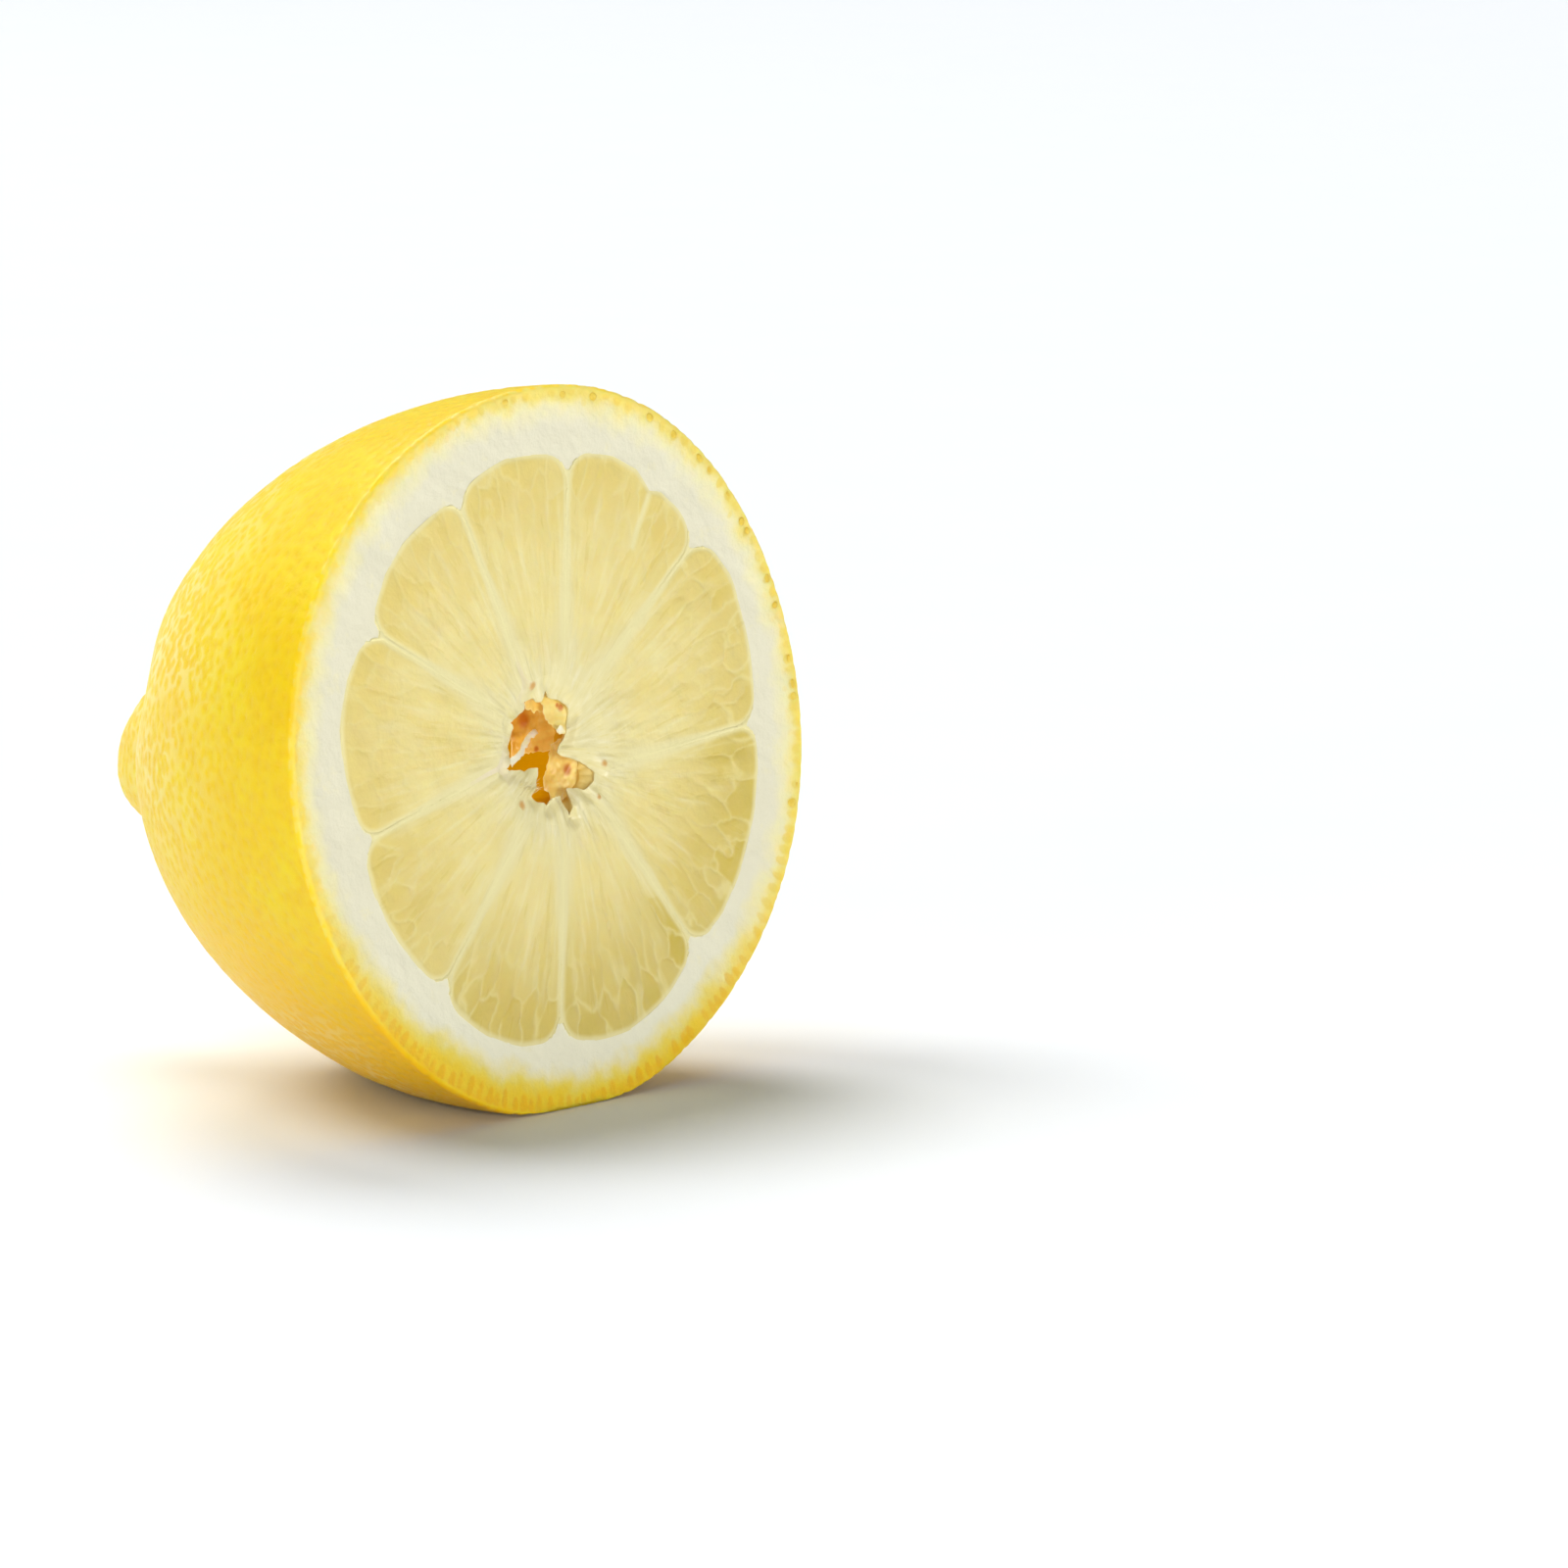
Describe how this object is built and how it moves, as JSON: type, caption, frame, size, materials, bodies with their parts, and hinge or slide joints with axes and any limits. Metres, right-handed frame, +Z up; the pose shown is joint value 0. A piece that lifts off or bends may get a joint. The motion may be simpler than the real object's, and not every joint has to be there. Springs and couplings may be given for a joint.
{
  "type": "lemon half",
  "caption": "Half a lemon cut across its middle, lying on its side on a small flat spot, with a nipple at the far end and a torn hollow core in the cut face.",
  "frame": {"origin": "on the resting surface, under the middle of the half's bounding box", "axes": "+Z up, +Y from the cut face towards the nipple, +X to the right when looking at the back of the cut from -Y"},
  "size_m": [0.0602, 0.0514, 0.0589],
  "materials": {
    "peel": "satin, finely pitted",
    "pith": "soft, matt, slightly spongy",
    "pulp": "moist, translucent"
  },
  "bodies": {
    "root": {"lemon_half": "peel"}
  },
  "joints": []
}
